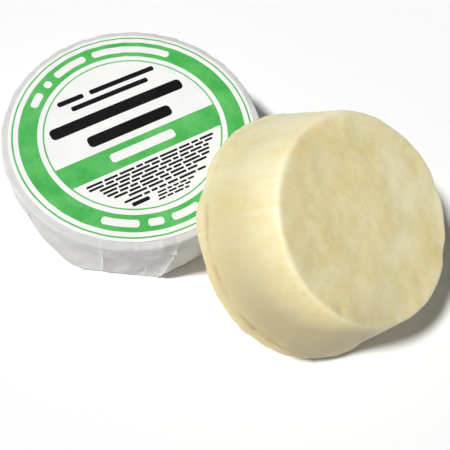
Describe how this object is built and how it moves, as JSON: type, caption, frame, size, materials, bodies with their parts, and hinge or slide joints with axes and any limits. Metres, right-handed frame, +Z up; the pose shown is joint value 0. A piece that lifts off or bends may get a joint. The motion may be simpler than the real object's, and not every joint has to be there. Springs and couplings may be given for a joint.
{
  "type": "shaving soap puck",
  "caption": "Round shaving soap puck, shown bare and also wrapped in pleated tissue under a round paper label that peels off.",
  "frame": {"origin": "middle of the footprint, on the surface that both pucks stand on", "axes": "+X from the wrapped puck to the bare one that leans on it, +Z up"},
  "size_m": [0.1186, 0.0674, 0.0496],
  "materials": {
    "soap": "waxy cream-yellow hard soap, slightly translucent",
    "tissue": "thin white matte tissue paper, creased",
    "label_paper": "smooth white paper label",
    "green_ink": "flat printed green",
    "black_ink": "flat printed black"
  },
  "bodies": {
    "wrapper": {"wrapper_cup": "tissue", "wrapped_soap": "soap"},
    "label": {"label": "label_paper"},
    "bare_soap": {"bare_soap": "soap"},
    "pleat_01": {"pleat_01": "tissue"},
    "pleat_02": {"pleat_02": "tissue"},
    "pleat_03": {"pleat_03": "tissue"},
    "pleat_04": {"pleat_04": "tissue"},
    "pleat_05": {"pleat_05": "tissue"},
    "pleat_06": {"pleat_06": "tissue"},
    "pleat_07": {"pleat_07": "tissue"},
    "pleat_08": {"pleat_08": "tissue"},
    "pleat_09": {"pleat_09": "tissue"},
    "pleat_10": {"pleat_10": "tissue"},
    "pleat_11": {"pleat_11": "tissue"},
    "pleat_12": {"pleat_12": "tissue"},
    "pleat_13": {"pleat_13": "tissue"},
    "pleat_14": {"pleat_14": "tissue"},
    "pleat_15": {"pleat_15": "tissue"},
    "pleat_16": {"pleat_16": "tissue"}
  },
  "joints": [
    {"name": "bare_puck_lift", "type": "slide", "parent": "wrapper", "child": "bare_soap", "axis": [0, 0, 1], "range_m": [0, 0.08]},
    {"name": "label_peel", "type": "slide", "parent": "wrapper", "child": "label", "axis": [-0.866, 0, 0.5], "range_m": [0, 0.12]},
    {"name": "pleat_01_fold", "type": "hinge", "parent": "wrapper", "child": "pleat_01", "pos_m": [0.00742, 0, 0.0256], "axis": [0, 1, 0], "range_deg": [0, 25]},
    {"name": "pleat_02_fold", "type": "hinge", "parent": "wrapper", "child": "pleat_02", "pos_m": [0.0049, 0.01265, 0.0256], "axis": [-0.3827, 0.9239, 0], "range_deg": [0, 25]},
    {"name": "pleat_03_fold", "type": "hinge", "parent": "wrapper", "child": "pleat_03", "pos_m": [-0.00226, 0.02337, 0.0256], "axis": [-0.7071, 0.7071, 0], "range_deg": [0, 70]},
    {"name": "pleat_04_fold", "type": "hinge", "parent": "wrapper", "child": "pleat_04", "pos_m": [-0.01298, 0.03054, 0.0256], "axis": [-0.9239, 0.3827, 0], "range_deg": [0, 117]},
    {"name": "pleat_05_fold", "type": "hinge", "parent": "wrapper", "child": "pleat_05", "pos_m": [-0.02563, 0.03305, 0.0256], "axis": [-1, 0, 0], "range_deg": [0, 117]},
    {"name": "pleat_06_fold", "type": "hinge", "parent": "wrapper", "child": "pleat_06", "pos_m": [-0.03828, 0.03054, 0.0256], "axis": [-0.9239, -0.3827, 0], "range_deg": [0, 117]},
    {"name": "pleat_07_fold", "type": "hinge", "parent": "wrapper", "child": "pleat_07", "pos_m": [-0.049, 0.02337, 0.0256], "axis": [-0.7071, -0.7071, 0], "range_deg": [0, 117]},
    {"name": "pleat_08_fold", "type": "hinge", "parent": "wrapper", "child": "pleat_08", "pos_m": [-0.05617, 0.01265, 0.0256], "axis": [-0.3827, -0.9239, 0], "range_deg": [0, 117]},
    {"name": "pleat_09_fold", "type": "hinge", "parent": "wrapper", "child": "pleat_09", "pos_m": [-0.05869, 0, 0.0256], "axis": [0, -1, 0], "range_deg": [0, 117]},
    {"name": "pleat_10_fold", "type": "hinge", "parent": "wrapper", "child": "pleat_10", "pos_m": [-0.05617, -0.01265, 0.0256], "axis": [0.3827, -0.9239, 0], "range_deg": [0, 117]},
    {"name": "pleat_11_fold", "type": "hinge", "parent": "wrapper", "child": "pleat_11", "pos_m": [-0.049, -0.02337, 0.0256], "axis": [0.7071, -0.7071, 0], "range_deg": [0, 117]},
    {"name": "pleat_12_fold", "type": "hinge", "parent": "wrapper", "child": "pleat_12", "pos_m": [-0.03828, -0.03054, 0.0256], "axis": [0.9239, -0.3827, 0], "range_deg": [0, 117]},
    {"name": "pleat_13_fold", "type": "hinge", "parent": "wrapper", "child": "pleat_13", "pos_m": [-0.02563, -0.03305, 0.0256], "axis": [1, 0, 0], "range_deg": [0, 117]},
    {"name": "pleat_14_fold", "type": "hinge", "parent": "wrapper", "child": "pleat_14", "pos_m": [-0.01298, -0.03054, 0.0256], "axis": [0.9239, 0.3827, 0], "range_deg": [0, 117]},
    {"name": "pleat_15_fold", "type": "hinge", "parent": "wrapper", "child": "pleat_15", "pos_m": [-0.00226, -0.02337, 0.0256], "axis": [0.7071, 0.7071, 0], "range_deg": [0, 70]},
    {"name": "pleat_16_fold", "type": "hinge", "parent": "wrapper", "child": "pleat_16", "pos_m": [0.0049, -0.01265, 0.0256], "axis": [0.3827, 0.9239, 0], "range_deg": [0, 25]}
  ],
  "couplings": [
    {"joint": "pleat_01_fold", "follows": "label_peel", "rad_per_m": 3.6},
    {"joint": "pleat_02_fold", "follows": "label_peel", "rad_per_m": 3.6},
    {"joint": "pleat_03_fold", "follows": "label_peel", "rad_per_m": 10.1},
    {"joint": "pleat_04_fold", "follows": "label_peel", "rad_per_m": 17},
    {"joint": "pleat_05_fold", "follows": "label_peel", "rad_per_m": 17},
    {"joint": "pleat_06_fold", "follows": "label_peel", "rad_per_m": 17},
    {"joint": "pleat_07_fold", "follows": "label_peel", "rad_per_m": 17},
    {"joint": "pleat_08_fold", "follows": "label_peel", "rad_per_m": 17},
    {"joint": "pleat_09_fold", "follows": "label_peel", "rad_per_m": 17},
    {"joint": "pleat_10_fold", "follows": "label_peel", "rad_per_m": 17},
    {"joint": "pleat_11_fold", "follows": "label_peel", "rad_per_m": 17},
    {"joint": "pleat_12_fold", "follows": "label_peel", "rad_per_m": 17},
    {"joint": "pleat_13_fold", "follows": "label_peel", "rad_per_m": 17},
    {"joint": "pleat_14_fold", "follows": "label_peel", "rad_per_m": 17},
    {"joint": "pleat_15_fold", "follows": "label_peel", "rad_per_m": 10.1},
    {"joint": "pleat_16_fold", "follows": "label_peel", "rad_per_m": 3.6}
  ]
}
